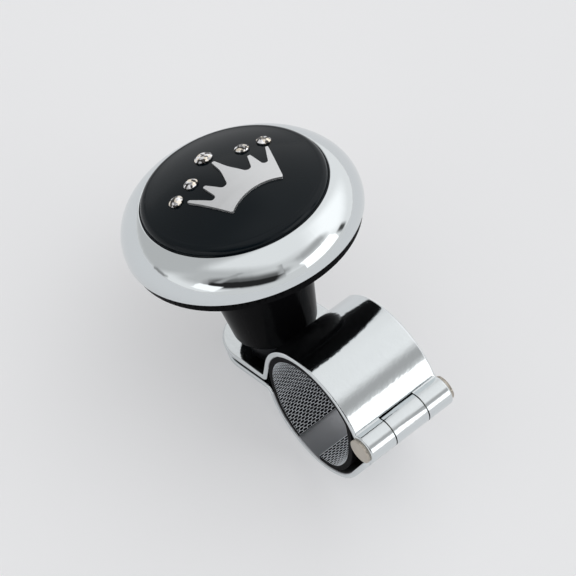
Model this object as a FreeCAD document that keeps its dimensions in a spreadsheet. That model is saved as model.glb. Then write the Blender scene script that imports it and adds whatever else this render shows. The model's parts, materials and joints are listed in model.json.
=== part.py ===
import FreeCAD, Part
import math
import os
import Sketcher

# Steering wheel spinner knob: a knob that spins on a ball bearing, carried by a hinged clamp.
# X runs from the clamp screw to the hinge, Y along the clamped rim, Z up the knob's axis.
# The origin is the centre of the clamped rim. All sizes are in millimetres and degrees.

SIZES = {
    # Clamp
    "rim_radius": 14.6,
    "pad_thickness": 1.35,
    "glue_gap": 0.05,
    "plate_thickness": 1.4,
    "clamp_width": 24.8,
    "wall_angle": 153.0,
    "root_angle": 8.5,
    "upper_tail_top": 1.5,
    "upper_fold_radius": 0.6,
    "tail_gap": 1.3,
    "tail_overhang": 2.4,
    "lower_tail_inset": 0.4,
    "lower_bend_radius": 1.1,
    "edge_radius": 0.5,
    "crease_radius": 0.45,
    "lower_jaw_radius": 15.0,
    "jaw_split_gap": 0.3,
    "lower_jaw_drop": 2.8,
    # Hinge
    "hinge_distance": 18.3,
    "hinge_height": 0.1,
    "pin_radius": 2.32,
    "pin_clearance": 0.08,
    "pin_head_radius": 3.1,
    "pin_head_height": 0.8,
    "knuckle_gap": 0.35,
    "middle_knuckle_width": 9.7,
    "middle_knuckle_slot": 10.34,
    "upper_knuckle_start": 125.0,
    "upper_knuckle_end": -140.0,
    "lower_knuckle_end": 125.0,
    # Grip pad
    "pad_inset": 1.15,
    "pad_start_angle": 22.0,
    "pad_end_angle": 230.0,
    # Clamp screw
    "knob_offset": 27.8,
    "thread_core_radius": 2.05,
    "tapped_radius": 2.55,
    "screw_hole_radius": 2.85,
    "screw_head_radius": 4.75,
    "screw_head_height": 2.75,
    "screw_head_rim": 0.8,
    "screw_head_flat": 2.4,
    "screw_tip_chamfer": 0.5,
    "screw_reach": 4.5,
    "lock_washer_radius": 4.4,
    "lock_washer_height": 1.2,
    "lock_washer_split": 0.8,
    "socket_width": 3.0,
    "socket_depth": 1.7,
    # Spindle and bearing
    "collar_radius": 7.5,
    "collar_height": 3.1,
    "shoulder_radius": 5.2,
    "shoulder_height": 1.8,
    "shank_radius": 4.0,
    "shank_setback": 0.2,
    "bearing_fit": 0.02,
    "bearing_radius": 8.0,
    "bearing_width": 5.0,
    "inner_land_radius": 5.25,
    "outer_land_radius": 6.75,
    "ball_pitch_radius": 6.0,
    "ball_radius": 1.19,
    "ball_clearance": 0.03,
    "ball_count": 7,
    "cage_wall": 0.45,
    "cage_height": 2.9,
    "shield_thickness": 0.3,
    "shield_gap": 0.15,
    "retaining_washer_radius": 5.3,
    "retaining_washer_height": 1.0,
    "retaining_head_radius": 4.5,
    "retaining_head_height": 2.6,
    "retaining_head_round": 0.85,
    "retaining_reach": 3.2,
    # Knob body
    "knob_gap": 0.3,
    "lip_radius": 7.2,
    "base_radius": 10.35,
    "base_round": 1.0,
    "neck_radius": 14.66,
    "neck_height": 29.54,
    "flange_height": 3.16,
    "underside_round": 1.2,
    "hub_wall": 3.0,
    "hub_cavity_radius": 10.5,
    "cup_floor": 2.6,
    "cup_wall": 2.4,
    # Chrome ring
    "ring_radius": 28.8,
    "ring_width": 6.55,
    "ring_height": 8.8,
    "ring_bulge": 2.25,
    "skirt_wall": 0.9,
    "skirt_drop": 0.55,
    "skirt_gap": 0.1,
    "inlay_ledge": 1.45,
    "inlay_seat_depth": 1.1,
    # Dome inlay
    "shoulder_round": 1.8,
    "dome_rise": 3.5,
    # Crown, one half of its outline from the middle point round to the base
    "crown_thickness": 0.6,
    "crown_point_width": 0.75,
    "crown_point_round": 0.25,
    "crown_middle_x": -5.8,
    "crown_flank_x": -1.4,
    "crown_flank_y": 0.95,
    "crown_flank_round": 12.0,
    "crown_valley_x": 5.25,
    "crown_valley_y": 3.5,
    "crown_valley_round": 1.1,
    "crown_inner_x": -0.6,
    "crown_inner_y": 6.3,
    "crown_notch_x": 6.95,
    "crown_notch_y": 6.95,
    "crown_notch_round": 0.88,
    "crown_outer_x": -0.45,
    "crown_outer_y": 11.37,
    "crown_corner_x": 10.9,
    "crown_corner_y": 7.3,
    "crown_corner_cut": 0.45,
    "crown_base_x": 9.0,
    # Stones
    "stone_height": 0.95,
    "stone_girdle": 0.35,
    "stone_bevel": 0.85,
    "centre_stone_radius": 2.2,
    "small_stone_radius": 1.75,
    "centre_stone_x": -9.7,
    "near_stone_x": -4.7,
    "near_stone_y": 7.6,
    "far_stone_x": -3.6,
    "far_stone_y": 13.1,
}
FULL_TURN = 360.0
HALF_TURN = 180.0
QUARTER_TURN = 90.0
SOCKET_SIDES = 6
TOUCH = 0.01


class Size:
    """A number together with the expression over the sheet that gives it."""

    def __init__(self, value, text):
        self.value = value
        self.text = text

    def __add__(self, other):
        other = as_size(other)
        return Size(self.value + other.value, f"({self.text} + {other.text})")

    def __sub__(self, other):
        other = as_size(other)
        return Size(self.value - other.value, f"({self.text} - {other.text})")

    def __mul__(self, other):
        other = as_size(other)
        return Size(self.value * other.value, f"({self.text} * {other.text})")

    def __truediv__(self, other):
        other = as_size(other)
        return Size(self.value / other.value, f"({self.text} / {other.text})")

    def __neg__(self):
        return as_size(0) - self


def as_size(number):
    """Wrap a plain number, such as the 2 in a half."""
    return number if isinstance(number, Size) else Size(float(number), f"{float(number)}")


def root(size):
    """The square root of a size."""
    return Size(math.sqrt(size.value), f"sqrt({size.text})")


def cosine(angle):
    """The cosine of an angle in degrees."""
    return Size(math.cos(math.radians(angle.value)), f"cos({angle.text})")


def sine(angle):
    """The sine of an angle in degrees."""
    return Size(math.sin(math.radians(angle.value)), f"sin({angle.text})")


doc = FreeCAD.newDocument("SpinnerKnob")
sheet = doc.addObject("Spreadsheet::Sheet", "Sizes")
rows = []
NODES = []


def add_row(name, content, value):
    """Give a size its own cell and name in the sheet."""
    rows.append(name)
    sheet.set(f"A{len(rows)}", name)
    sheet.set(f"B{len(rows)}", content)
    sheet.setAlias(f"B{len(rows)}", name)
    return Size(value, f"Sizes.{name}")


def worked_out(name, value):
    """Give a size that follows from others its own cell, which keeps expressions short."""
    return add_row(name, "=" + value.text.replace("Sizes.", ""), value.value)


size = {name: add_row(name, str(value), float(value)) for name, value in SIZES.items()}
doc.recompute()


def bind(item, **properties):
    """Bind numeric properties of an object to sizes."""
    for name, value in properties.items():
        item.setExpression(name, as_size(value).text)


def place(item, x=0, y=0, z=0):
    """Bind the position of an object to sizes."""
    for axis, value in zip("xyz", (x, y, z)):
        item.setExpression(f".Placement.Base.{axis}", as_size(value).text)


def turn(item, axis, angle):
    """Turn an object about an axis by an angle that is bound to the sheet."""
    item.Placement.Rotation = FreeCAD.Rotation(FreeCAD.Vector(*axis), as_size(angle).value)
    item.setExpression(".Placement.Rotation.Angle", as_size(angle).text)


def keep(item, label):
    """Make an object one of the part's pieces."""
    item.Label = label
    NODES.append(item)
    return item


# Sketches and bodies

def plane_of(body, role):
    """One of the body's own origin planes or axes."""
    return next(item for item in body.Origin.OriginFeatures if item.Role == role)


def new_body(name, x=0, y=0, z=0):
    """A body whose position is bound to the sheet."""
    body = doc.addObject("PartDesign::Body", name)
    place(body, x, y, z)
    return body


def new_sketch(body, name, plane):
    """An empty sketch on one of the body's origin planes."""
    sketch = body.newObject("Sketcher::SketchObject", name)
    sketch.AttachmentSupport = (plane_of(body, plane), [""])
    sketch.MapMode = "FlatFace"
    return sketch


def pin_point(sketch, curve, end, point):
    """Hold a point of the sketch at its place over the origin."""
    for kind, distance in zip(("DistanceX", "DistanceY"), point):
        distance = as_size(distance)
        held = Sketcher.Constraint(kind, -1, 1, curve, end, distance.value)
        index = sketch.addConstraint(held)
        sketch.setExpression(f"Constraints[{index}]", distance.text)


def pin_middle(sketch, curve, centre, across):
    """Hold an arc's centre on the line midway between its ends."""
    kind, distance = ("DistanceX", centre[0]) if across else ("DistanceY", centre[1])
    distance = as_size(distance)
    index = sketch.addConstraint(Sketcher.Constraint(kind, -1, 1, curve, 3, distance.value))
    sketch.setExpression(f"Constraints[{index}]", distance.text)


def bind_radius(sketch, curve, radius):
    """Bind the radius of a circle or an arc."""
    radius = as_size(radius)
    index = sketch.addConstraint(Sketcher.Constraint("Radius", curve, radius.value))
    sketch.setExpression(f"Constraints[{index}]", radius.text)


def vector(point):
    """A sketch point from two sizes."""
    return FreeCAD.Vector(as_size(point[0]).value, as_size(point[1]).value, 0)


def line(*corners):
    """Straight steps of an outline, one to each corner."""
    return [("line", corner, None, None, 0) for corner in corners]


def arc(end, centre, radius, side):
    """A round step of an outline; side is 1 counterclockwise and -1 clockwise."""
    return [("arc", end, centre, radius, side)]


def draw(sketch, start, steps):
    """Draw a closed outline whose corners and radii are bound to the sheet."""
    here = start
    first = None
    before = None
    for kind, end, centre, radius, side in steps:
        a, b = vector(here), vector(end)
        if kind == "line":
            curve = sketch.addGeometry(Part.LineSegment(a, b))
            head, tail = 1, 2
        else:
            middle = vector(centre)
            low, high = (a, b) if side > 0 else (b, a)
            angles = [math.atan2(p.y - middle.y, p.x - middle.x) for p in (low, high)]
            circle = Part.Circle(middle, FreeCAD.Vector(0, 0, 1), as_size(radius).value)
            curve = sketch.addGeometry(Part.ArcOfCircle(circle, angles[0], angles[1]))
            head, tail = (1, 2) if side > 0 else (2, 1)
            pin_middle(sketch, curve, centre, abs(b.y - a.y) >= abs(b.x - a.x))
        if before is None:
            first = (curve, head)
        else:
            sketch.addConstraint(Sketcher.Constraint("Coincident", *before, curve, head))
        pin_point(sketch, curve, head, here)
        before = (curve, tail)
        here = end
    sketch.addConstraint(Sketcher.Constraint("Coincident", *before, *first))


def unit(start, end):
    """The direction from one point to another."""
    across, up = end[0] - start[0], end[1] - start[1]
    length = root(across * across + up * up)
    return across / length, up / length


def rounded(*corners):
    """The start and steps of a closed outline; a corner's third value is its rounding."""
    steps = []
    corners = [[as_size(value) for value in corner] for corner in corners]
    for number, corner in enumerate(corners):
        if len(corner) == 2:
            steps += line(corner)
            continue
        x, y, radius = corner
        back = unit(corner, corners[number - 1])
        on = unit(corner, corners[(number + 1) % len(corners)])
        lean = as_size(1) + back[0] * on[0] + back[1] * on[1]
        setback = radius / root((as_size(2) - lean) / lean)
        share = setback / lean
        turning = back[1] * on[0] - back[0] * on[1]
        steps += line((x + back[0] * setback, y + back[1] * setback))
        steps += arc((x + on[0] * setback, y + on[1] * setback),
                     (x + (back[0] + on[0]) * share, y + (back[1] + on[1]) * share),
                     radius, 1 if turning.value > 0 else -1)
    return steps[-1][1], steps


def draw_circle(sketch, centre, radius):
    """Draw a full circle bound to the sheet."""
    circle = Part.Circle(vector(centre), FreeCAD.Vector(0, 0, 1), as_size(radius).value)
    curve = sketch.addGeometry(circle)
    bind_radius(sketch, curve, radius)
    pin_point(sketch, curve, 3, centre)


def extrude(body, kind, sketch, length, name):
    """Pad or pocket a sketch by the same length to both sides of its plane."""
    feature = body.newObject(f"PartDesign::{kind}", name)
    feature.Profile = sketch
    feature.SideType = "Symmetric"
    bind(feature, Length=length)
    return feature


def revolve(body, kind, sketch, name):
    """Turn a sketch right round its own vertical axis."""
    feature = body.newObject(f"PartDesign::{kind}", name)
    feature.Profile = sketch
    feature.ReferenceAxis = (sketch, ["V_Axis"])
    feature.Angle = FULL_TURN
    return feature


def turned_body(name, start, steps, x=0, z=0):
    """A turned piece from its half section in radius and height."""
    body = new_body(name, x=x, z=z)
    sketch = new_sketch(body, f"{name}_section", "XZ_Plane")
    draw(sketch, start, steps)
    revolve(body, "Revolution", sketch, f"{name}_turned")
    return body


def round_edges(body, name, radius, chosen):
    """Round the edges of a body's tip that the test picks."""
    doc.recompute()
    base = body.Tip
    names = [f"Edge{n}" for n, edge in enumerate(base.Shape.Edges, start=1) if chosen(edge)]
    fillet = body.newObject("PartDesign::Fillet", name)
    fillet.Base = (base, names)
    bind(fillet, Radius=radius)
    return fillet


# Clamp profile points that more than one piece shares

jaw_inner = worked_out("jaw_inner", size["rim_radius"] + size["pad_thickness"] + size["glue_gap"])
jaw_outer = worked_out("jaw_outer", jaw_inner + size["plate_thickness"])
half_width = worked_out("half_width", size["clamp_width"] / 2)
knuckle_inner = worked_out("knuckle_inner", size["pin_radius"] + size["pin_clearance"])
knuckle_outer = worked_out("knuckle_outer", knuckle_inner + size["plate_thickness"])
knuckle_cut = worked_out("knuckle_cut", knuckle_outer + size["knuckle_gap"])
hinge = (size["hinge_distance"], size["hinge_height"])
tail_end = worked_out("tail_end", size["knob_offset"] + size["tail_overhang"])
upper_tail_under = worked_out("upper_tail_under", size["upper_tail_top"] - size["plate_thickness"])
lower_tail_top = worked_out("lower_tail_top", upper_tail_under - size["tail_gap"])
lower_tail_under = worked_out("lower_tail_under", lower_tail_top - size["plate_thickness"])
lower_centre = (worked_out("lower_centre", size["lower_jaw_radius"] - jaw_inner - size["jaw_split_gap"]),
                -size["lower_jaw_drop"])
lower_outer = worked_out("lower_outer", size["lower_jaw_radius"] + size["plate_thickness"])


def around(centre, radius, angle):
    """The point at an angle on a circle."""
    return (centre[0] + radius * cosine(angle), centre[1] + radius * sine(angle))


def cut_tail(body, name, inset):
    """Round the end of a jaw's tail to a half circle seen from above."""
    sketch = new_sketch(body, f"{name}_end", "XY_Plane")
    radius = half_width
    corner = inset - tail_end
    beyond = corner - radius * 2
    wide = radius * 2
    start = (corner, radius)
    steps = line((corner, wide), (beyond, wide), (beyond, -wide), (corner, -wide), (corner, -radius))
    draw(sketch, start, steps + arc(start, (corner, 0), radius, -1))
    extrude(body, "Pocket", sketch, size["clamp_width"] * 4, f"{name}_end_cut")


def cut_hole(body, name, radius):
    """Cut the clamp screw's hole through a jaw's tail."""
    sketch = new_sketch(body, f"{name}_hole", "XY_Plane")
    draw_circle(sketch, (-size["knob_offset"], 0), radius)
    extrude(body, "Pocket", sketch, size["clamp_width"], f"{name}_hole_cut")


def on_side(edge, half):
    """True for an edge that lies on one of a jaw's two side faces."""
    return all(abs(abs(vertex.Y) - half.value) < TOUCH for vertex in edge.Vertexes)


def from_hinge(point):
    """The distance of a point from the hinge line."""
    return math.hypot(point.x - hinge[0].value, point.z - hinge[1].value)


# Upper jaw

def make_upper_jaw():
    """The fixed jaw: an arch over the rim, a folded tail and two outer knuckles."""
    body = new_body("upper_jaw")
    centre = (as_size(0), as_size(0))
    wall = size["wall_angle"]
    fold = size["upper_fold_radius"]
    fold_z = size["upper_tail_top"] + fold
    fold_x = (jaw_outer + fold - fold_z * sine(wall)) / cosine(wall)
    fold_centre = (fold_x, fold_z)
    opposite = wall + HALF_TURN
    under = fold + size["plate_thickness"]
    far = -tail_end - half_width

    sketch = new_sketch(body, "arch_section", "XZ_Plane")
    start = around(centre, jaw_outer, size["root_angle"])
    steps = arc(around(centre, jaw_outer, wall), centre, jaw_outer, 1)
    steps += line(around(fold_centre, fold, opposite))
    steps += arc((fold_x, size["upper_tail_top"]), fold_centre, fold, -1)
    steps += line((far, size["upper_tail_top"]), (far, upper_tail_under), (fold_x, upper_tail_under))
    steps += arc(around(fold_centre, under, opposite), fold_centre, under, 1)
    steps += line(around(centre, jaw_inner, wall))
    steps += arc(around(centre, jaw_inner, size["root_angle"]), centre, jaw_inner, -1)
    steps += line(start)
    draw(sketch, start, steps)
    extrude(body, "Pad", sketch, size["clamp_width"], "arch")

    knuckle = new_sketch(body, "knuckle_section", "XZ_Plane")
    first, last = size["upper_knuckle_start"], size["upper_knuckle_end"]
    start = around(hinge, knuckle_outer, first)
    steps = arc(around(hinge, knuckle_outer, last), hinge, knuckle_outer, -1)
    steps += line(around(hinge, knuckle_inner, last))
    steps += arc(around(hinge, knuckle_inner, first), hinge, knuckle_inner, 1)
    draw(knuckle, start, steps + line(start))
    extrude(body, "Pad", knuckle, size["clamp_width"], "knuckles")
    cut_tail(body, "upper_tail", as_size(0))

    def in_crease(edge):
        middle = edge.CenterOfMass
        on_arch = abs(math.hypot(middle.x, middle.z) - jaw_outer.value) < TOUCH
        on_knuckle = abs(from_hinge(middle) - knuckle_outer.value) < TOUCH
        return on_arch and on_knuckle and middle.z > hinge[1].value + knuckle_inner.value

    round_edges(body, "crease_round", size["crease_radius"], in_crease)

    def on_outer_edge(edge):
        curve = edge.Curve
        inside = isinstance(curve, Part.Circle) and abs(curve.Radius - jaw_inner.value) < TOUCH
        clear = knuckle_outer.value + size["crease_radius"].value * 2
        return on_side(edge, half_width) and not inside and from_hinge(edge.CenterOfMass) > clear

    round_edges(body, "upper_edge_round", size["edge_radius"], on_outer_edge)
    slot = new_sketch(body, "slot_section", "XZ_Plane")
    draw_circle(slot, hinge, knuckle_cut)
    extrude(body, "Pocket", slot, size["middle_knuckle_slot"], "slot")
    cut_hole(body, "upper_tail", size["screw_hole_radius"])
    return keep(body, "upper_jaw")


# Lower jaw

def make_lower_jaw():
    """The swinging jaw: a tail, a bend, a deep arc under the rim and the middle knuckle."""
    body = new_body("lower_jaw")
    bend_under = size["lower_bend_radius"]
    bend_top = bend_under + size["plate_thickness"]
    bend_z = lower_tail_top - bend_top
    reach = size["lower_jaw_radius"] + bend_top
    drop = lower_centre[1] - bend_z
    bend_x = lower_centre[0] - root(reach * reach - drop * drop)
    bend = (bend_x, bend_z)
    toward = ((bend_x - lower_centre[0]) / reach, (bend_z - lower_centre[1]) / reach)

    def along(radius):
        return (lower_centre[0] + toward[0] * radius, lower_centre[1] + toward[1] * radius)

    gap_x = hinge[0] - lower_centre[0]
    gap_z = hinge[1] - lower_centre[1]
    gap = root(gap_x * gap_x + gap_z * gap_z)
    lean = (lower_outer - knuckle_outer) / gap
    across = root(as_size(1) - lean * lean)
    normal = ((lean * gap_x + across * gap_z) / gap, (lean * gap_z - across * gap_x) / gap)

    def offset(centre, radius):
        return (centre[0] + normal[0] * radius, centre[1] + normal[1] * radius)

    far = -tail_end - half_width
    sketch = new_sketch(body, "jaw_section", "XZ_Plane")
    start = (far, lower_tail_top)
    steps = line((bend_x, lower_tail_top))
    steps += arc(along(size["lower_jaw_radius"]), bend, bend_top, -1)
    steps += arc(offset(lower_centre, size["lower_jaw_radius"]), lower_centre,
                 size["lower_jaw_radius"], 1)
    steps += line(offset(hinge, knuckle_inner), offset(hinge, knuckle_outer))
    steps += line(offset(lower_centre, lower_outer))
    steps += arc(along(lower_outer), lower_centre, lower_outer, -1)
    steps += arc((bend_x, lower_tail_under), bend, bend_under, 1)
    steps += line((far, lower_tail_under), start)
    draw(sketch, start, steps)
    extrude(body, "Pad", sketch, size["clamp_width"], "jaw")
    cut_tail(body, "lower_tail", size["lower_tail_inset"])

    def on_long_edge(edge):
        clear = hinge[0].value - knuckle_outer.value - size["plate_thickness"].value
        return on_side(edge, half_width) and edge.CenterOfMass.x < clear

    round_edges(body, "lower_edge_round", size["edge_radius"], on_long_edge)
    room = new_sketch(body, "knuckle_room_section", "XZ_Plane")
    draw_circle(room, hinge, knuckle_cut)
    extrude(body, "Pocket", room, size["clamp_width"], "knuckle_room")
    last = size["lower_knuckle_end"]
    knuckle = new_sketch(body, "middle_knuckle_section", "XZ_Plane")
    start = offset(hinge, knuckle_outer)
    steps = arc(around(hinge, knuckle_outer, last), hinge, knuckle_outer, 1)
    steps += line(around(hinge, knuckle_inner, last))
    steps += arc(offset(hinge, knuckle_inner), hinge, knuckle_inner, -1)
    steps += line(offset(lower_centre, size["lower_jaw_radius"]), offset(lower_centre, lower_outer))
    draw(knuckle, start, steps + line(start))
    extrude(body, "Pad", knuckle, size["middle_knuckle_width"], "middle_knuckle")
    cut_hole(body, "lower_tail", size["screw_hole_radius"])
    return keep(body, "lower_jaw")


# Hinge pin

def make_hinge_pin():
    """A riveted pin with a flat head outside each outer knuckle."""
    pin = doc.addObject("Part::Cylinder", "pin_shank")
    bind(pin, Radius=size["pin_radius"], Height=size["clamp_width"])
    turn(pin, (1, 0, 0), QUARTER_TURN)
    place(pin, hinge[0], half_width, hinge[1])
    heads = []
    for name, side in (("pin_head_near", -1), ("pin_head_far", 1)):
        head = doc.addObject("Part::Cylinder", name)
        bind(head, Radius=size["pin_head_radius"], Height=size["pin_head_height"])
        turn(head, (1, 0, 0), -QUARTER_TURN * side)
        place(head, hinge[0], half_width * side, hinge[1])
        heads.append(head)
    whole = doc.addObject("Part::MultiFuse", "hinge_pin")
    whole.Shapes = [pin] + heads
    return keep(whole, "hinge_pin")


# Grip pad

def make_grip_pad():
    """The soft strip glued inside the upper jaw, with a free end under the rim."""
    body = new_body("grip_pad")
    inner = size["rim_radius"]
    outer = inner + size["pad_thickness"]
    centre = (as_size(0), as_size(0))
    low_outer = size["lower_jaw_radius"] - size["jaw_split_gap"] - size["glue_gap"]
    low_inner = low_outer - size["pad_thickness"]
    first, last = size["pad_start_angle"], size["pad_end_angle"]
    half_turn = as_size(HALF_TURN)
    sketch = new_sketch(body, "pad_section", "XZ_Plane")
    start = around(centre, outer, first)
    steps = arc(around(centre, outer, half_turn), centre, outer, 1)
    steps += line(around(lower_centre, low_outer, half_turn))
    steps += arc(around(lower_centre, low_outer, last), lower_centre, low_outer, 1)
    steps += line(around(lower_centre, low_inner, last))
    steps += arc(around(lower_centre, low_inner, half_turn), lower_centre, low_inner, -1)
    steps += line(around(centre, inner, half_turn))
    steps += arc(around(centre, inner, first), centre, inner, -1)
    draw(sketch, start, steps + line(start))
    extrude(body, "Pad", sketch, size["clamp_width"] - size["pad_inset"] * 2, "strip")
    return keep(body, "grip_pad")


# Heights of the stacked pieces on the knob's axis

z_tail = size["upper_tail_top"]
z_collar = worked_out("z_collar", z_tail + size["collar_height"])
z_bearing = worked_out("z_bearing", z_collar + size["shoulder_height"])
z_bearing_top = worked_out("z_bearing_top", z_bearing + size["bearing_width"])
z_washer = worked_out("z_washer", z_bearing_top + size["glue_gap"])
z_head = worked_out("z_head", z_washer + size["retaining_washer_height"])
z_knob = worked_out("z_knob", z_collar + size["knob_gap"])
z_flange = worked_out("z_flange", z_knob + size["neck_height"])
z_seat = worked_out("z_seat", z_flange + size["flange_height"])
z_ring = worked_out("z_ring", z_seat + size["glue_gap"])
z_edge = worked_out("z_edge", z_seat + size["ring_height"])
z_inlay = worked_out("z_inlay", z_edge - size["inlay_seat_depth"])
axis_x = -size["knob_offset"]

# Radii that the knob body, the ring and the inlay share

flange_radius = worked_out("flange_radius", size["ring_radius"] - size["skirt_wall"] - size["skirt_gap"])
inlay_radius = worked_out("inlay_radius", size["ring_radius"] - size["ring_width"])
boss_radius = worked_out("boss_radius", inlay_radius - size["inlay_ledge"])
cup_radius = worked_out("cup_radius", boss_radius - size["cup_wall"])


def socket(body, height, from_below):
    """Cut the key's six-sided socket into the end of a screw's head."""
    sketch = new_sketch(body, f"{body.Name}_socket", "XY_Plane")
    step = FULL_TURN / SOCKET_SIDES
    corner = size["socket_width"] / 2 / cosine(as_size(step / 2))
    corners = [around((as_size(0), as_size(0)), corner, as_size(step * n)) for n in range(SOCKET_SIDES)]
    draw(sketch, corners[0], line(*corners[1:], corners[0]))
    sketch.setExpression(".AttachmentOffset.Base.z", height.text)
    pocket = body.newObject("PartDesign::Pocket", f"{body.Name}_socket_cut")
    pocket.Profile = sketch
    pocket.Reversed = from_below
    bind(pocket, Length=size["socket_depth"])


# Clamp screw

def make_clamp_screw():
    """A button head screw from below; its shank is modelled at the thread's core."""
    top = lower_tail_under - size["lock_washer_height"]
    low = top - size["screw_head_height"]
    head, flat, core = size["screw_head_radius"], size["screw_head_flat"], size["thread_core_radius"]
    rise = size["screw_head_height"] - size["screw_head_rim"]
    middle = (rise * rise + head * head - flat * flat) / (rise * 2)
    dome = root(middle * middle + flat * flat)
    tip = z_tail + size["screw_reach"]
    chamfer = size["screw_tip_chamfer"]
    steps = line((head, low + rise)) + arc((flat, low), (0, low + middle), dome, -1)
    steps += line((0, low), (0, tip), (core - chamfer, tip), (core, tip - chamfer), (core, top))
    body = turned_body("clamp_screw", (head, top), steps + line((head, top)), x=axis_x)
    socket(body, low, True)
    return keep(body, "clamp_screw")


def make_lock_washer():
    """The split spring washer between the screw's head and the lower tail."""
    low = lower_tail_under - size["lock_washer_height"]
    ring = tube("lock_washer_ring", size["lock_washer_radius"], size["screw_hole_radius"],
                low, size["lock_washer_height"], x=axis_x)
    split = doc.addObject("Part::Box", "lock_washer_gap")
    bind(split, Length=size["lock_washer_radius"] * 2, Width=size["lock_washer_split"],
         Height=size["lock_washer_height"] * 3)
    place(split, axis_x, -size["lock_washer_split"] / 2, low - size["lock_washer_height"])
    washer = doc.addObject("Part::Cut", "lock_washer")
    washer.Base = ring
    washer.Tool = split
    return keep(washer, "lock_washer")


def tube(name, outer, inner, low, height, x=0):
    """A plain ring as a cylinder less its bore."""
    solid = doc.addObject("Part::Cylinder", f"{name}_outside")
    bind(solid, Radius=outer, Height=height)
    place(solid, x, 0, low)
    bore = doc.addObject("Part::Cylinder", f"{name}_bore")
    bind(bore, Radius=inner, Height=height * 3)
    place(bore, x, 0, low - height)
    ring = doc.addObject("Part::Cut", name)
    ring.Base = solid
    ring.Tool = bore
    return ring


# Spindle and retaining screw

def make_spindle():
    """The steel post that stands on the tail, tapped right through."""
    bore = size["tapped_radius"]
    collar, shoulder = size["collar_radius"], size["shoulder_radius"]
    shank = size["shank_radius"]
    top = z_bearing_top - size["shank_setback"]
    steps = line((collar, z_tail), (collar, z_collar), (shoulder, z_collar), (shoulder, z_bearing))
    steps += line((shank, z_bearing), (shank, top), (bore, top), (bore, z_tail))
    return keep(turned_body("spindle", (bore, z_tail), steps, x=axis_x), "spindle")


def make_retaining_washer():
    """The washer that holds the bearing's inner race down."""
    ring = tube("retaining_washer", size["retaining_washer_radius"], size["tapped_radius"],
                z_washer, size["retaining_washer_height"], x=axis_x)
    return keep(ring, "retaining_washer")


def make_retaining_screw():
    """The pan head screw on top of the spindle."""
    head, core = size["retaining_head_radius"], size["thread_core_radius"]
    tip = z_bearing_top - size["retaining_reach"]
    top = z_head + size["retaining_head_height"]
    rounding = size["retaining_head_round"]
    steps = line((core, z_head), (head, z_head), (head, top - rounding))
    steps += arc((head - rounding, top), (head - rounding, top - rounding), rounding, 1)
    steps += line((0, top), (0, tip))
    body = turned_body("retaining_screw", (core, tip), steps + line((core, tip)), x=axis_x)
    socket(body, top, False)
    return keep(body, "retaining_screw")


# Ball bearing

def make_bearing():
    """Two grooved races, a cage, the balls and a thin shield on each side."""
    groove = size["ball_radius"] + size["ball_clearance"]
    middle = z_bearing + size["bearing_width"] / 2
    pitch = size["ball_pitch_radius"]
    inner_land, outer_land = size["inner_land_radius"], size["outer_land_radius"]
    bore = size["shank_radius"] + size["bearing_fit"]
    outside = size["bearing_radius"] - size["bearing_fit"]

    def race(name, land, side, outward):
        reach = land - pitch if outward else pitch - land
        half = root(groove * groove - reach * reach)
        steps = line((side, z_bearing_top), (land, z_bearing_top), (land, middle + half))
        steps += arc((land, middle - half), (pitch, middle), groove, -1 if outward else 1)
        steps += line((land, z_bearing), (side, z_bearing))
        return keep(turned_body(name, (side, z_bearing), steps, x=axis_x), name)

    race("bearing_inner_race", inner_land, bore, False)
    race("bearing_outer_race", outer_land, outside, True)
    pockets = []
    for number in range(SIZES["ball_count"]):
        angle = as_size(FULL_TURN / SIZES["ball_count"] * number)
        x = axis_x + pitch * cosine(angle)
        y = pitch * sine(angle)
        ball = doc.addObject("Part::Sphere", f"bearing_ball_{number + 1}")
        bind(ball, Radius=size["ball_radius"])
        place(ball, x, y, middle)
        keep(ball, f"bearing_ball_{number + 1}")
        pocket = doc.addObject("Part::Cylinder", f"ball_pocket_{number + 1}")
        bind(pocket, Radius=groove, Height=pitch * 2)
        outward = FreeCAD.Vector(cosine(angle).value, sine(angle).value, 0)
        pocket.Placement.Rotation = FreeCAD.Rotation(FreeCAD.Vector(0, 0, 1), outward)
        place(pocket, axis_x, 0, middle)
        pockets.append(pocket)
    band = tube("cage_band", pitch + size["cage_wall"], pitch - size["cage_wall"],
                middle - size["cage_height"] / 2, size["cage_height"], x=axis_x)
    all_pockets = doc.addObject("Part::MultiFuse", "ball_pockets")
    all_pockets.Shapes = pockets
    cage = doc.addObject("Part::Cut", "bearing_cage")
    cage.Base = band
    cage.Tool = all_pockets
    keep(cage, "bearing_cage")
    thick = size["shield_thickness"]
    for name, low in (("lower", z_bearing), ("upper", z_bearing_top - thick)):
        shield = tube(f"bearing_shield_{name}", outer_land, inner_land + size["shield_gap"],
                      low, thick, x=axis_x)
        keep(shield, f"bearing_shield_{name}")


# Knob body

def make_knob_body():
    """The moulded mushroom: a waisted neck, a wide flange and a hollow cup under the inlay."""
    base, neck = size["base_radius"], size["neck_radius"]
    hub, lip = size["bearing_radius"], size["lip_radius"]
    start, steps = rounded(
        (lip, z_knob),
        (base, z_knob, size["base_round"]),
        (neck, z_flange, size["underside_round"]),
        (flange_radius, z_flange),
        (flange_radius, z_seat),
        (boss_radius, z_seat),
        (boss_radius, z_inlay),
        (cup_radius, z_inlay),
        (cup_radius, z_seat + size["cup_floor"]),
        (size["hub_cavity_radius"], z_flange),
        (hub, z_bearing_top + size["hub_wall"]),
        (hub, z_bearing),
        (lip, z_bearing),
    )
    return keep(turned_body("knob_body", start, steps, x=axis_x), "knob_body")


# Chrome ring

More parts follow.
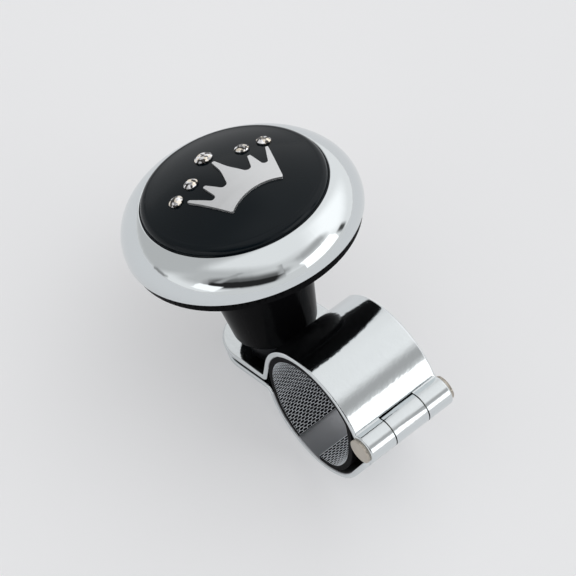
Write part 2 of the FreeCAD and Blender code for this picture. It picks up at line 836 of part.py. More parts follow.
def make_chrome_ring():
    """The bright ring: one fat bead from the inlay out and down to a skirt over the flange."""
    hole, edge = inlay_radius + size["glue_gap"], size["ring_radius"]
    z_skirt = z_ring - size["skirt_drop"]
    bore = flange_radius + size["skirt_gap"]
    inside = boss_radius + size["skirt_gap"]
    bulge = size["ring_bulge"]
    across, down = edge - hole, z_edge - z_skirt
    chord = root(across * across + down * down)
    bead = (chord * chord / 4 + bulge * bulge) / (bulge * 2)
    inward = (bead - bulge) / chord
    centre = ((hole + edge) / 2 - down * inward, (z_edge + z_skirt) / 2 - across * inward)
    steps = arc((edge, z_skirt), centre, bead, -1)
    steps += line((bore, z_skirt), (bore, z_ring), (inside, z_ring), (inside, z_inlay))
    steps += line((hole, z_inlay), (hole, z_edge))
    return keep(turned_body("chrome_ring", (hole, z_edge), steps, x=axis_x), "chrome_ring")


# Dome inlay, crown and stones

def dome_sphere():
    """The centre height and radius of the dome's cap."""
    rim = inlay_radius - size["shoulder_round"]
    rise = size["dome_rise"]
    radius = (rim * rim + rise * rise) / (rise * 2)
    return z_edge + size["shoulder_round"] + rise - radius, radius


def make_dome_inlay():
    """The glossy domed disc that closes the knob."""
    edge, shoulder = inlay_radius, size["shoulder_round"]
    low = z_inlay + size["glue_gap"]
    middle, radius = dome_sphere()
    top = (0, middle + radius)
    steps = line((0, low), (edge, low), (edge, z_edge))
    steps += arc((edge - shoulder, z_edge + shoulder), (edge - shoulder, z_edge), shoulder, 1)
    steps += arc(top, (0, middle), radius, 1)
    return keep(turned_body("dome_inlay", top, steps, x=axis_x), "dome_inlay")


def crown_half(side):
    """The crown's corners from its middle point to its base; side is 1 or -1."""
    tip, width = size["crown_point_round"], size["crown_point_width"]
    cut = size["crown_corner_cut"]
    corners = [
        (size["crown_middle_x"], width / 2, tip),
        (size["crown_flank_x"], size["crown_flank_y"], size["crown_flank_round"]),
        (size["crown_valley_x"], size["crown_valley_y"], size["crown_valley_round"]),
        (size["crown_inner_x"], size["crown_inner_y"], tip),
        (size["crown_inner_x"], size["crown_inner_y"] + width, tip),
        (size["crown_notch_x"], size["crown_notch_y"], size["crown_notch_round"]),
        (size["crown_outer_x"], size["crown_outer_y"], tip),
        (size["crown_outer_x"], size["crown_outer_y"] + width, tip),
        (size["crown_corner_x"] - cut, size["crown_corner_y"] + cut),
        (size["crown_corner_x"], size["crown_corner_y"]),
    ]
    return [(x, y * side, *rounding) for x, y, *rounding in corners]


def make_crown():
    """The five-pointed crown: a flat outline bent over the dome."""
    middle, radius = dome_sphere()
    outline = doc.addObject("Sketcher::SketchObject", "crown_outline")
    half, other = crown_half(1), crown_half(-1)
    sag = size["crown_corner_x"] - size["crown_base_x"]
    bow = (size["crown_corner_y"] * size["crown_corner_y"] + sag * sag) / (sag * 2)
    start, steps = rounded(*reversed(half), *other)
    base = arc(half[-1], (size["crown_base_x"] + bow, as_size(0)), bow, -1)
    draw(outline, start, base + steps[1:])
    place(outline, x=axis_x)
    column = doc.addObject("Part::Extrusion", "crown_column")
    column.Base = outline
    column.DirMode = "Normal"
    column.Solid = True
    bind(column, LengthFwd=middle + radius * 2)
    low, high = radius + size["glue_gap"], radius + size["glue_gap"] + size["crown_thickness"]
    spheres = []
    for name, reach in (("crown_back", low), ("crown_front", high)):
        sphere = doc.addObject("Part::Sphere", name)
        bind(sphere, Radius=reach)
        place(sphere, axis_x, 0, middle)
        spheres.append(sphere)
    skin = doc.addObject("Part::Cut", "crown_skin")
    skin.Base = spheres[1]
    skin.Tool = spheres[0]
    crown = doc.addObject("Part::Common", "crown")
    crown.Base = skin
    crown.Tool = column
    return keep(crown, "crown")


def make_stone(name, radius, x, y):
    """One cut stone, square to the dome at its own place."""
    middle, dome = dome_sphere()
    body = doc.addObject("PartDesign::Body", name)
    sketch = new_sketch(body, f"{name}_section", "XZ_Plane")
    tall = size["stone_height"]
    steps = line((radius, 0), (radius, size["stone_girdle"]), (radius - size["stone_bevel"], tall))
    draw(sketch, (0, 0), steps + line((0, tall), (0, 0)))
    revolve(body, "Revolution", sketch, f"{name}_turned")
    away = root(x * x + y * y)
    up = root(dome * dome - x * x - y * y)
    lift = (dome + size["glue_gap"]) / dome
    place(body, axis_x + x * lift, y * lift, middle + up * lift)
    tilt = FreeCAD.Vector(-y.value, x.value, 0)
    angle = math.degrees(math.atan2(away.value, up.value))
    body.Placement.Rotation = FreeCAD.Rotation(tilt, angle)
    body.setExpression(".Placement.Rotation.Axis.x", (-y / away).text)
    body.setExpression(".Placement.Rotation.Axis.y", (x / away).text)
    body.setExpression(".Placement.Rotation.Angle", f"asin({(away / dome).text})")
    return keep(body, name)


def make_stones():
    """One large stone over the crown's middle point and two on each side."""
    make_stone("centre_stone", size["centre_stone_radius"], size["centre_stone_x"], as_size(0))
    for row in ("near", "far"):
        x, y = size[f"{row}_stone_x"], size[f"{row}_stone_y"]
        make_stone(f"{row}_stone_left", size["small_stone_radius"], x, -y)
        make_stone(f"{row}_stone_right", size["small_stone_radius"], x, y)


def build():
    """Make every piece in the order in which the product goes together."""
    make_upper_jaw()
    make_lower_jaw()
    make_hinge_pin()
    make_grip_pad()
    make_lock_washer()
    make_clamp_screw()
    make_spindle()
    make_bearing()
    make_retaining_washer()
    make_retaining_screw()
    make_knob_body()
    make_chrome_ring()
    make_dome_inlay()
    make_crown()
    make_stones()


def check_and_write():
    """Stop at any failed object, then write each piece's STEP file."""
    doc.recompute()
    for item in doc.Objects:
        if {"Invalid", "Error"} & set(item.State):
            raise RuntimeError(f"{item.Name} is {item.State}")
    os.makedirs("parts", exist_ok=True)
    for piece in NODES:
        if piece.Shape.isNull() or not piece.Shape.isValid():
            raise RuntimeError(f"{piece.Label} has no valid shape")
        piece.Shape.exportStep(f"parts/{piece.Label}.step")
        print(piece.Label, len(piece.Shape.Solids), round(piece.Shape.Volume, 2))


build()
check_and_write()
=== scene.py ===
import json
import math

import bmesh
import bpy
from bpy.props import FloatProperty, FloatVectorProperty, PointerProperty
from bpy.types import Operator, Panel, PropertyGroup
from mathutils import Matrix, Quaternion, Vector


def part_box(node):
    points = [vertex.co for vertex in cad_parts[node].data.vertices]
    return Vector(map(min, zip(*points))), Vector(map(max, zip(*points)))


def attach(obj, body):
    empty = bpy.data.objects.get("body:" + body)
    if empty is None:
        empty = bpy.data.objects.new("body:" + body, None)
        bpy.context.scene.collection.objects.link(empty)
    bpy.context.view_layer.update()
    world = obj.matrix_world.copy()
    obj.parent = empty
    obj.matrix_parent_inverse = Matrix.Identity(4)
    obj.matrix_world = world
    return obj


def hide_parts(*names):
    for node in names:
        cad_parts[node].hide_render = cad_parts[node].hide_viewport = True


bl_info = {
    "name": "Steering wheel spinner knob",
    "version": (1, 0, 0),
    "blender": (4, 5, 0),
    "location": "View3D > Sidebar > Spinner knob",
    "description": "Dresses the spinner knob's pieces and sets up its studio",
    "category": "Object",
}

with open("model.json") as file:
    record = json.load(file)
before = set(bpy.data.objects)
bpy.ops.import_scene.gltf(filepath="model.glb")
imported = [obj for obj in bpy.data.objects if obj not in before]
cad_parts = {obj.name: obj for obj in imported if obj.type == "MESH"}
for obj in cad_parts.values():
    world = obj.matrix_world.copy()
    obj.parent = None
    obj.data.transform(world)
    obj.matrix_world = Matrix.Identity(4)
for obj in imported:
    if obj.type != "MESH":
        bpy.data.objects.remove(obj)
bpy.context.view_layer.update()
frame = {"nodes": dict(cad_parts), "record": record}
NODES = frame["nodes"]
MM = 0.001
MERGE_DISTANCE = 0.002 * MM
SHARP_ANGLE = math.radians(30)

# The strip's loose end under the rim: angle round the rim's axis in degrees and radius in millimetres.
# It starts at the second point, where the strip leaves the jaw; the first and the last only steer the curve.
LOOSE_END = ((40, 14.7), (22, 14.6), (4, 13.0), (-16, 12.3), (-46, 13.0), (-70, 14.75), (-86, 16.05),
             (-104, 16.6), (-120, 16.9))
STRIP_FIRST_END, JAWS_MEET, STRIP_LEAVES_JAW = 230, 180, LOOSE_END[1][0]
STEPS_BETWEEN_KNOTS = 12


# Sizes and colours that a user may change

class StudioSettings(PropertyGroup):
    """Where the camera stands and how the stage lies under the object."""

    azimuth: FloatProperty(
        name="Azimuth", description="Direction of the camera round the Z axis from +X",
        default=math.radians(-27.51), subtype="ANGLE")
    elevation: FloatProperty(
        name="Elevation", description="Height of the camera above the XY plane",
        default=math.radians(40.31), subtype="ANGLE")
    roll: FloatProperty(
        name="Roll", description="Lean of the camera about its own line of sight",
        default=math.radians(17.36), subtype="ANGLE")
    distance: FloatProperty(
        name="Distance", description="Camera to the point that it looks at",
        default=0.7024, unit="LENGTH")
    target: FloatVectorProperty(
        name="Target", description="Point at the centre of the picture",
        default=(-0.01884, 0.00121, 0.01967), subtype="XYZ")
    lens: FloatProperty(
        name="Lens", description="Focal length over a 36 mm sensor, in millimetres",
        default=187.85, unit="CAMERA")
    floor_tilt: FloatProperty(
        name="Floor tilt", description="Lean of the floor that the clamp and its screw rest on",
        default=math.radians(26.9), subtype="ANGLE")
    floor_size: FloatProperty(
        name="Floor size", description="Width of the floor", default=3.0, unit="LENGTH")
    floor_colour: FloatVectorProperty(
        name="Floor colour", description="Pale card under the object",
        default=(0.900, 0.903, 0.915), subtype="COLOR")
    backdrop_colour: FloatVectorProperty(
        name="Backdrop colour", description="Plain background beyond the floor",
        default=(0.845, 0.848, 0.862), subtype="COLOR")
    floor_lift: FloatProperty(
        name="Floor lift", description="Share of plain backdrop colour in the floor as it is looked at",
        default=0.4, subtype="FACTOR")
    room_light: FloatProperty(
        name="Room light", description="Brightness of the room's pale walls", default=1.0, subtype="FACTOR")


class FinishSettings(PropertyGroup):
    """Colours of the object's finishes."""

    chrome: FloatVectorProperty(
        name="Chrome", description="Bright plating on the clamp and the ring",
        default=(0.70, 0.735, 0.75), subtype="COLOR")
    bore: FloatVectorProperty(
        name="Bore", description="Dull plating inside the jaws", default=(0.42, 0.43, 0.45), subtype="COLOR")
    black: FloatVectorProperty(
        name="Black moulding", description="Knob body", default=(0.0035, 0.0035, 0.004), subtype="COLOR")
    inlay: FloatVectorProperty(
        name="Inlay", description="Domed black inlay", default=(0.0025, 0.0050, 0.0070), subtype="COLOR")
    crown: FloatVectorProperty(
        name="Crown", description="Polished trim on the inlay", default=(0.72, 0.73, 0.74), subtype="COLOR")
    steel: FloatVectorProperty(
        name="Steel", description="Turned steel pieces", default=(0.62, 0.62, 0.64), subtype="COLOR")
    pin: FloatVectorProperty(
        name="Pin", description="Hinge pin's plain end", default=(0.60, 0.55, 0.48), subtype="COLOR")
    pad: FloatVectorProperty(
        name="Pad", description="Silver mesh of the grip pad", default=(0.93, 0.96, 1.0), subtype="COLOR")
    rubber: FloatVectorProperty(
        name="Rubber", description="Black rubber under the mesh", default=(0.006, 0.006, 0.007),
        subtype="COLOR")
    oxide: FloatVectorProperty(
        name="Black oxide", description="Blackened spindle", default=(0.03, 0.03, 0.034), subtype="COLOR")
    oxide_shade: FloatVectorProperty(
        name="Black oxide shade", description="Darker clouds of the blackened spindle",
        default=(0.012, 0.012, 0.014), subtype="COLOR")
    nylon: FloatVectorProperty(
        name="Nylon", description="Bearing cage", default=(0.65, 0.6, 0.5), subtype="COLOR")
    nylon_shade: FloatVectorProperty(
        name="Nylon shade", description="Darker clouds of the bearing cage", default=(0.55, 0.5, 0.4),
        subtype="COLOR")
    # Painted reflections on the stones' facets: a painted glint, a painted warm glint, and painted shade for
    # facets turned from the light.
    stone_painted_glint: FloatVectorProperty(
        name="Bright stone", description="Facets that catch the light", default=(0.96, 0.96, 0.98),
        subtype="COLOR")
    stone_painted_warm_glint: FloatVectorProperty(
        name="Golden stone", description="Facets with a warm glint", default=(0.95, 0.87, 0.74),
        subtype="COLOR")
    stone_painted_shade: FloatVectorProperty(
        name="Painted stone shade", description="Facets turned from the light", default=(0.06, 0.056, 0.052),
        subtype="COLOR")


class StripSettings(PropertyGroup):
    """The soft strip with its silver net."""

    strip_thickness: FloatProperty(
        name="Thickness", description="Thickness of the rubber strip", default=1.35 * MM, unit="LENGTH")
    strip_inset: FloatProperty(
        name="Inset", description="From the strip's edge to the jaws' edge", default=0.3 * MM, unit="LENGTH")
    lower_jaw_shift: FloatProperty(
        name="Lower jaw shift", description="Lower jaw's middle towards the hinge from the rim's axis",
        default=-1.3 * MM, unit="LENGTH")
    lower_jaw_drop: FloatProperty(
        name="Lower jaw drop", description="Lower jaw's middle below the rim's axis",
        default=2.8 * MM, unit="LENGTH")
    lower_jaw_bore: FloatProperty(
        name="Lower jaw bore", description="Radius of the lower jaw's inner face",
        default=15.0 * MM, unit="LENGTH")
    mesh_pitch: FloatProperty(
        name="Hole pitch", description="From hole to hole along the rim", default=1.28 * MM, unit="LENGTH")
    mesh_row: FloatProperty(
        name="Row pitch", description="From row to row round the rim", default=0.606 * MM, unit="LENGTH")
    mesh_thread: FloatProperty(
        name="Thread", description="Width of the net's threads", default=0.26 * MM, unit="LENGTH")
    mesh_lean: FloatProperty(
        name="Lean", description="How far the threads zigzag", default=0.08 * MM, unit="LENGTH")
    mesh_depth: FloatProperty(
        name="Hole depth", description="Depth of the net's holes", default=0.22 * MM, unit="LENGTH")


class ThreadSettings(PropertyGroup):
    """The clamp screw's thread."""

    thread_core: FloatProperty(
        name="Core", description="Radius at the thread's foot", default=1.95 * MM, unit="LENGTH")
    thread_crest: FloatProperty(
        name="Crest", description="Radius at the thread's crest", default=2.45 * MM, unit="LENGTH")
    thread_pitch: FloatProperty(
        name="Pitch", description="From turn to turn", default=0.8 * MM, unit="LENGTH")
    thread_start: FloatProperty(
        name="Start", description="From the underside of the head to the first turn", default=5.6 * MM,
        unit="LENGTH")
    thread_chamfer: FloatProperty(
        name="Chamfer", description="Plain end at the screw's tip", default=0.5 * MM, unit="LENGTH")


# Shader maths

class Socket:
    """A shader output that adds its own Math nodes when used in an expression."""

    def __init__(self, shader, output):
        self.shader = shader
        self.output = output

    def maths(self, operation, *values):
        return self.shader.node("ShaderNodeMath", {"operation": operation}, dict(enumerate(values)))

    def __add__(self, other):
        return self.maths("ADD", self, other)

    __radd__ = __add__

    def __sub__(self, other):
        return self.maths("SUBTRACT", self, other)

    def __rsub__(self, other):
        return self.maths("SUBTRACT", other, self)

    def __mul__(self, other):
        return self.maths("MULTIPLY", self, other)

    __rmul__ = __mul__

    def __truediv__(self, other):
        return self.maths("DIVIDE", self, other)

    def __abs__(self):
        return self.maths("ABSOLUTE", self)

    def root(self):
        """The square root."""
        return self.maths("SQRT", self)

    def clipped(self):
        """The value held between 0 and 1."""
        return self.shader.node("ShaderNodeClamp", {}, {0: self})

    def ramp(self, low, high):
        """0 below low, 1 above high and smooth between."""
        return self.shader.node("ShaderNodeMapRange", {"interpolation_type": "SMOOTHSTEP"},
                                {"Value": self, "From Min": low, "From Max": high})


class Shader:
    """A material or world whose nodes are made by one method."""

    def __init__(self, name, world=False):
        self.block = bpy.data.worlds.new(name) if world else bpy.data.materials.new(name)
        self.block.use_nodes = True
        self.tree = self.block.node_tree
        self.tree.nodes.clear()

    def node(self, kind, settings=None, values=None, out=0):
        """Make a node, set it up, feed its sockets and wrap one output, or each output in a tuple."""
        made = self.tree.nodes.new(kind)
        for key, value in (settings or {}).items():
            setattr(made, key, value)
        for key, value in (values or {}).items():
            if isinstance(value, Socket):
                self.tree.links.new(value.output, made.inputs[key])
            else:
                made.inputs[key].default_value = value
        if isinstance(out, tuple):
            return [Socket(self, made.outputs[key]) for key in out]
        return Socket(self, made.outputs[out]) if made.outputs else None

    def place(self, scale=(1, 1, 1)):
        """Object coordinates through a Mapping node."""
        where = self.node("ShaderNodeTexCoord", out="Object")
        return self.node("ShaderNodeMapping", {}, {"Vector": where, "Scale": scale})

    def noise(self, scale, detail=3.0, vector=None):
        """Fractal noise between 0 and 1."""
        vector = vector or self.place()
        return self.node("ShaderNodeTexNoise", {}, {
            "Vector": vector, "Scale": scale, "Detail": detail, "Roughness": 0.5})

    def shade(self, amount, colour, share):
        """Blend from a share of a colour's brightness to the full colour."""
        return self.mix(amount, opaque([channel * share for channel in colour]), opaque(colour))

    def mix(self, amount, one, two):
        """Blend two colours, which a Mix node takes at its sockets 6 and 7 and gives at its output 2."""
        return self.node("ShaderNodeMix", {"data_type": "RGBA"},
                         {0: amount, 6: one, 7: two}, out=2)

    def bump(self, height, strength, distance):
        """A normal from a height."""
        return self.node("ShaderNodeBump", {}, {
            "Height": height, "Strength": strength, "Distance": distance})

    def surface(self, **values):
        """Finish with a Principled surface."""
        named = {key.replace("_", " "): value for key, value in values.items()}
        surface = self.node("ShaderNodeBsdfPrincipled", {}, named)
        self.node("ShaderNodeOutputMaterial", {}, {"Surface": surface})
        return self.block


def opaque(colour):
    """A colour with full alpha."""
    return (*colour, 1.0)


# Materials

def chrome_plate(name, colour, roughness, peel):
    """Bright plating with an orange peel and faint polishing marks."""
    shader = Shader(name)
    cloud, fine, base = plating(shader, colour)
    rough = roughness + cloud * (roughness * 0.5) + fine * (roughness * 0.35)
    return shader.surface(Base_Color=base, Metallic=1.0, Roughness=rough, Normal=orange_peel(shader, peel))


def plating(shader, colour):
    """Wide clouds, fine marks and the base colour of a plated face."""
    cloud = shader.noise(90.0, 2.0)
    return cloud, shader.noise(2600.0, 3.0), shader.shade(cloud, colour, 0.97)


def orange_peel(shader, depth):
    """Small uneven swellings of a plated face."""
    swells = shader.noise(1100.0, 1.5) + shader.noise(330.0, 1.0) * 1.5
    return shader.bump(swells, 1.0, depth)


def jaw_plate(name, settings, shift, drop, bore):
    """Plating that is bright outside and dull inside the bore, which no polishing wheel reaches."""
    shader = Shader(name)
    across, up = shader.node("ShaderNodeSeparateXYZ", {}, {0: shader.place()}, out=("X", "Z"))
    across, up = across - shift, up + drop
    distance = (across * across + up * up).root()
    dull_until, bright_from = bore + 0.1 * MM, bore + 0.3 * MM
    dull = 1 - distance.ramp(dull_until, bright_from)
    cloud, fine, bright = plating(shader, settings.chrome)
    rough = 0.06 + cloud * 0.03 + fine * 0.02 + dull * 0.26
    base = shader.mix(dull, bright, opaque(settings.bore))
    return shader.surface(Base_Color=base, Metallic=1.0 - dull * 0.15, Roughness=rough,
                          Normal=orange_peel(shader, 0.014 * MM))


def black_moulding(settings):
    """Glossy black moulded plastic with a faint orange peel."""
    shader = Shader("black_moulding")
    peel = shader.noise(900.0, 2.0)
    cloud = shader.noise(60.0, 3.0)
    base = shader.mix(cloud, opaque(settings.black), opaque([c * 1.5 for c in settings.black]))
    normal = shader.bump(peel, 0.12, 0.03 * MM)
    return shader.surface(Base_Color=base, Roughness=0.13 + cloud * 0.08, Normal=normal, IOR=1.1)


def inlay_gloss(settings):
    """Deep black dome under a clear gloss."""
    shader = Shader("inlay_gloss")
    cloud = shader.noise(45.0, 2.0)
    dust = shader.noise(1500.0, 2.0).ramp(0.62, 0.9)
    base = shader.mix(cloud, opaque(settings.inlay), opaque([c * 1.6 for c in settings.inlay]))
    return shader.surface(Base_Color=base, Roughness=0.10 + cloud * 0.05 + dust * 0.05, IOR=1.25)


def crown_trim(settings):
    """Satin silver trim."""
    shader = Shader("crown_trim")
    brushed = shader.noise(700.0, 3.0, shader.place((1, 0.15, 1)))
    base = shader.shade(brushed, settings.crown, 0.92)
    return shader.surface(Base_Color=base, Metallic=0.9, Roughness=0.3 + brushed * 0.15,
                          Normal=shader.bump(brushed, 0.1, 0.02 * MM))


def stone_cut(settings):
    """Cut glass over foil with painted reflections: each small facet gets a painted glint, a painted warm
    glint or painted shade.
    """
    shader = Shader("stone_cut")
    cells = shader.node("ShaderNodeTexVoronoi", {}, {"Vector": shader.place(), "Scale": 1500.0}, out="Color")
    painted_glint_mask, warm_glint_mask = shader.node("ShaderNodeSeparateColor", {}, {0: cells}, out=(0, 1))
    # Painted reflections: each Voronoi cell paints one facet dark with painted shade, or bright with a
    # painted glint, some of them warm.
    bright = shader.mix(warm_glint_mask.ramp(0.55, 0.75), opaque(settings.stone_painted_glint), opaque(settings.stone_painted_warm_glint))
    base = shader.mix(painted_glint_mask.ramp(0.25, 0.6), opaque(settings.stone_painted_shade), bright)
    return shader.surface(Base_Color=base, Metallic=0.85, Roughness=0.05 + painted_glint_mask * 0.08)


def turned_steel(name, colour, roughness=0.28):
    """Machined steel with fine turning lines."""
    shader = Shader(name)
    lines = shader.noise(1800.0, 2.0, shader.place((1, 1, 4)))
    cloud = shader.noise(300.0, 3.0)
    base = shader.shade(cloud, colour, 0.8)
    return shader.surface(Base_Color=base, Metallic=1.0, Roughness=roughness + lines * 0.15,
                          Normal=shader.bump(lines, 0.15, 0.02 * MM))


def black_oxide(settings):
    """Blackened steel."""
    shader = Shader("black_oxide")
    cloud = shader.noise(500.0, 3.0)
    base = shader.mix(cloud, opaque(settings.oxide_shade), opaque(settings.oxide))
    return shader.surface(Base_Color=base, Metallic=0.8, Roughness=0.32 + cloud * 0.1)


def cage_nylon(settings):
    """Natural nylon of the bearing cage."""
    shader = Shader("cage_nylon")
    cloud = shader.noise(700.0, 2.0)
    base = shader.mix(cloud, opaque(settings.nylon_shade), opaque(settings.nylon))
    return shader.surface(Base_Color=base, Roughness=0.45 + cloud * 0.1)


def strip_mesh(settings):
    """Silver net over black rubber; the rubber shows in the holes and on the edges."""
    shader = Shader("strip_mesh")
    rubber = shader.node("ShaderNodeAttribute", {"attribute_name": "deep"}, out="Fac").ramp(0.5, 0.85)
    cloud = shader.noise(900.0, 3.0)
    thread = shader.shade(cloud, settings.pad, 0.8)
    base = shader.mix(rubber, thread, opaque(settings.rubber))
    return shader.surface(Base_Color=base, Metallic=(1 - rubber) * 0.1, Roughness=0.38 + rubber * 0.3,
                          IOR=1.3, Specular_IOR_Level=0.15)


# Shapes

def finish_mesh(name, shape, body, material, replaced=()):
    """Turn a bmesh into a smooth-shaded piece that rides on a body."""
    mesh = bpy.data.meshes.new(name)
    bmesh.ops.recalc_face_normals(shape, faces=shape.faces)
    shape.to_mesh(mesh)
    shape.free()
    mesh.polygons.foreach_set("use_smooth", [True] * len(mesh.polygons))
    mesh.set_sharp_from_angle(angle=SHARP_ANGLE)
    piece = bpy.data.objects.new(name, mesh)
    bpy.context.scene.collection.objects.link(piece)
    mesh.materials.append(material)
    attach(piece, body)
    if replaced:
        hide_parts(*replaced)
    return piece


def body_of(node):
    """The body that a node rides on."""
    bodies = frame["record"]["behaviour"]["bodies"]
    return next(name for name, members in bodies.items() if node in members)


def smooth_copy(node, material):
    """A merged, smooth-shaded and evenly shaded copy that stands for a node of loose triangles."""
    shape = bmesh.new()
    shape.from_mesh(NODES[node].data)
    bmesh.ops.remove_doubles(shape, verts=shape.verts, dist=MERGE_DISTANCE)
    piece = finish_mesh(f"{node}_finish", shape, body_of(node), material, (node,))
    even = piece.modifiers.new("even_shading", "WEIGHTED_NORMAL")
    even.mode = "FACE_AREA_WITH_ANGLE"
    even.keep_sharp = True
    return piece


def make_thread(node, settings):
    """A helical ridge round a screw's shank, from above its head to its tip."""
    low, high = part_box(node)
    middle = (low + high) / 2
    core, crest, pitch = settings.thread_core, settings.thread_crest, settings.thread_pitch
    foot = low.z + settings.thread_start
    turns = (high.z - settings.thread_chamfer - pitch - foot) / pitch
    shape = bmesh.new()
    corners = [(core, 0.0), (crest, pitch * 0.42), (crest, pitch * 0.5), (core, pitch * 0.92)]
    profile = [shape.verts.new((middle.x + radius, middle.y, foot + height)) for radius, height in corners]
    face = shape.faces.new(profile)
    steps_per_turn = 24
    steps = round(turns * steps_per_turn)
    bmesh.ops.spin(shape, geom=[face, *face.edges, *face.verts], cent=(middle.x, middle.y, 0),
                   axis=(0, 0, 1), dvec=(0, 0, turns * pitch / steps), angle=math.tau * turns,
                   steps=steps, use_merge=False)
    return shape


def strip_section(settings):
    """Points along the strip's inner face, from its end in the lower jaw to its loose end."""
    face = top_of("grip_pad") - settings.strip_thickness
    drop = Vector((settings.lower_jaw_shift, 0, -settings.lower_jaw_drop))
    lower_face = face + settings.lower_jaw_shift
    points = [drop + lower_face * ray(angle) for angle in range(STRIP_FIRST_END, JAWS_MEET, -1)]
    points += [face * ray(angle) for angle in range(JAWS_MEET, STRIP_LEAVES_JAW, -1)]
    knots = [ray(angle) * radius * MM for angle, radius in LOOSE_END]
    for four in zip(knots, knots[1:], knots[2:], knots[3:]):
        points += [curve_point(four, step / STEPS_BETWEEN_KNOTS) for step in range(STEPS_BETWEEN_KNOTS)]
    return points


def top_of(node):
    """The height of a node's top."""
    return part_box(node)[1].z


def ray(angle):
    """The direction at an angle round the rim's axis, in degrees from the hinge."""
    angle = math.radians(angle)
    return Vector((math.cos(angle), 0, math.sin(angle)))


def curve_point(knots, part):
    """A point of the smooth curve that passes through the second and third of four knots."""
    one, two, three, four = knots
    bend = (two - three) * 3 + four - one
    lean = one * 2 - two * 5 + three * 4 - four
    return two + (three - one) * (part / 2) + lean * (part * part / 2) + bend * (part ** 3 / 2)


def make_strip(settings):
    """The strip with its net, plain back and closed edges, made flat and then bent to its section."""
    low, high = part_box("upper_jaw")
    width = high.y - low.y - 2 * settings.strip_inset
    section = strip_section(settings)
    along = [0.0]
    for one, two in zip(section, section[1:]):
        along.append(along[-1] + (two - one).length)
    rows = round(along[-1] / settings.mesh_row)
    columns = round(width / (settings.mesh_pitch / 2))
    shape = bmesh.new()
    bmesh.ops.create_grid(shape, x_segments=rows, y_segments=columns, size=0.5)
    back = bmesh.ops.duplicate(shape, geom=shape.faces[:])["geom"]
    back_points = {item for item in back if isinstance(item, bmesh.types.BMVert)}
    back_faces = [item for item in back if isinstance(item, bmesh.types.BMFace)]
    bmesh.ops.reverse_faces(shape, faces=back_faces)
    joined = edges_across_holes(shape, back_points, rows, columns)
    for point in shape.verts:
        row, column = round((point.co.x + 0.5) * rows), round((point.co.y + 0.5) * columns)
        inside = 0 < row < rows and 0 < column < columns and point not in back_points
        lean = settings.mesh_lean * (1 if (row + column) % 2 == 0 else -1) if inside else 0.0
        point.co.x = (point.co.x + 0.5) * along[-1] + lean
        point.co.y *= width
        point.co.z = -settings.strip_thickness if point in back_points else 0.0
    bmesh.ops.dissolve_edges(shape, edges=joined, use_verts=False, use_face_split=False)
    bmesh.ops.bridge_loops(shape, edges=[edge for edge in shape.edges if edge.is_boundary])
    sink_holes(shape, settings)
    bend_strip(shape, section, along)
    return shape


def edges_across_holes(shape, back_points, rows, columns):
    """Edges of the front grid whose removal joins its squares in pairs, staggered from row to row."""
    found = []
    for edge in shape.edges:
        one, two = edge.verts
        middle = (one.co + two.co) / 2
        column = round((middle.y + 0.5) * columns)
        row = math.floor((middle.x + 0.5) * rows)
        runs_along = abs(one.co.y - two.co.y) < 0.1 / columns
        if runs_along and one not in back_points and 0 < column < columns and (column + row) % 2:
            found.append(edge)
    return found


def sink_holes(shape, settings):
    """Sink a hole in each cell of the front and note in a face corner layer how deep each corner lies."""
    cells = [face for face in shape.faces if all(point.co.z == 0 for point in face.verts)]
    bmesh.ops.inset_individual(shape, faces=cells, thickness=settings.mesh_thread / 2,
                               depth=-settings.mesh_depth, use_even_offset=True)
    deep = shape.loops.layers.float.new("deep")
    for face in shape.faces:
        depths = [-corner.vert.co.z / settings.mesh_depth for corner in face.loops]
        below_the_holes = max(depths) > 1.5
        for corner, depth in zip(face.loops, depths):
            corner[deep] = 1.0 if below_the_holes else depth


def bend_strip(shape, section, along):
    """Bend the flat strip to its section; its face is towards the rim."""
    step = 0
    for point in sorted(shape.verts, key=lambda point: point.co.x):
        while step < len(along) - 2 and along[step + 1] < point.co.x:
            step += 1
        one, two = section[step], section[step + 1]
        part = (point.co.x - along[step]) / (along[step + 1] - along[step])
        ahead = (two - one).normalized()
        outwards = Vector((-ahead.z, 0, ahead.x))
        place = one.lerp(two, part) - outwards * point.co.z
        point.co = Vector((place.x, point.co.y, place.z))


# Operators

class KNOB_OT_clamp(Operator):
    """Finish the two jaws and the hinge pin"""

    bl_idname = "spinner.clamp"
    bl_label = "Clamp"

    def execute(self, context):
        finish = context.scene.spinner_finish
        strip = context.scene.spinner_strip
        upper = jaw_plate("upper_jaw_chrome", finish, 0.0, 0.0, top_of("grip_pad"))
        lower = jaw_plate("lower_jaw_chrome", finish, strip.lower_jaw_shift, strip.lower_jaw_drop,
                          strip.lower_jaw_bore)
        smooth_copy("upper_jaw", upper)
        smooth_copy("lower_jaw", lower)
        smooth_copy("hinge_pin", turned_steel("pin_steel", finish.pin))
        return {"FINISHED"}


class KNOB_OT_pad(Operator):
    """Make the patterned grip pad"""

    bl_idname = "spinner.pad"
    bl_label = "Grip pad"

    def execute(self, context):
        strip = make_strip(context.scene.spinner_strip)
        material = strip_mesh(context.scene.spinner_finish)
        finish_mesh("grip_strip", strip, body_of("grip_pad"), material, ("grip_pad",))
        return {"FINISHED"}


class KNOB_OT_fasteners(Operator):
    """Finish the screws, washers and the spindle"""

    bl_idname = "spinner.fasteners"
    bl_label = "Screws and spindle"

    def execute(self, context):
        finish = context.scene.spinner_finish
        steel = turned_steel("zinc_steel", finish.steel)
        for node in ("clamp_screw", "lock_washer", "retaining_washer", "retaining_screw"):
            smooth_copy(node, steel)
        thread = make_thread("clamp_screw", context.scene.spinner_thread)
        finish_mesh("clamp_screw_thread", thread, body_of("clamp_screw"), steel)
        smooth_copy("spindle", black_oxide(finish))
        return {"FINISHED"}


